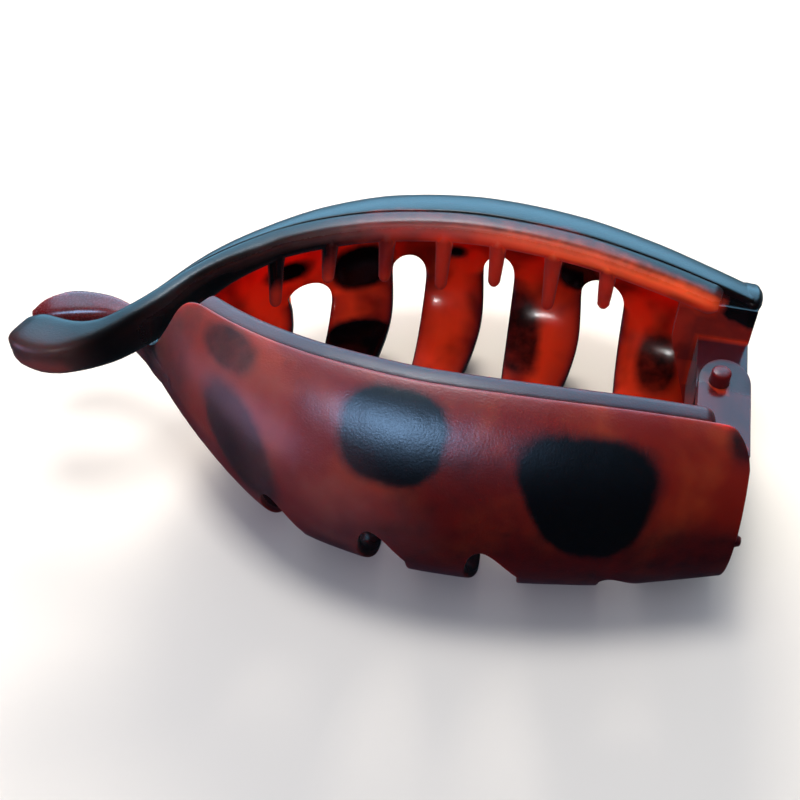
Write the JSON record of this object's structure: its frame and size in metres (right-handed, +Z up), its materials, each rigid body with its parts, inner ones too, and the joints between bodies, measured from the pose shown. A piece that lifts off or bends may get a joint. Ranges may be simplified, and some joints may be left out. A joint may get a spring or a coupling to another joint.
{
  "type": "banana hair clip",
  "caption": "Banana hair clip of two hinged, C-shaped tortoiseshell plastic jaws with curved interlocking teeth, pegs inside the rims and crossing thumb tails.",
  "frame": {"origin": "middle of the clip's outer box, at the level that the bends of the teeth lie on", "axes": "+X along the clip towards the hinge, +Y from the near jaw to the far jaw, +Z up from the teeth to the rims"},
  "size_m": [0.1098, 0.0656, 0.034],
  "materials": {
    "far_jaw": "tortoiseshell, satin outside and glossy inside",
    "near_jaw": "tortoiseshell, satin outside and glossy inside",
    "hinge_pin": "plain, dark red-brown"
  },
  "bodies": {
    "far": {"far_jaw": "far_jaw", "hinge_pin": "hinge_pin"},
    "near": {"near_jaw": "near_jaw"}
  },
  "joints": [
    {"name": "jaw_hinge", "type": "hinge", "parent": "far", "child": "near", "pos_m": [0.04955, 0, 0.0162], "axis": [0, 0, 1], "range_deg": [0, 90]}
  ]
}
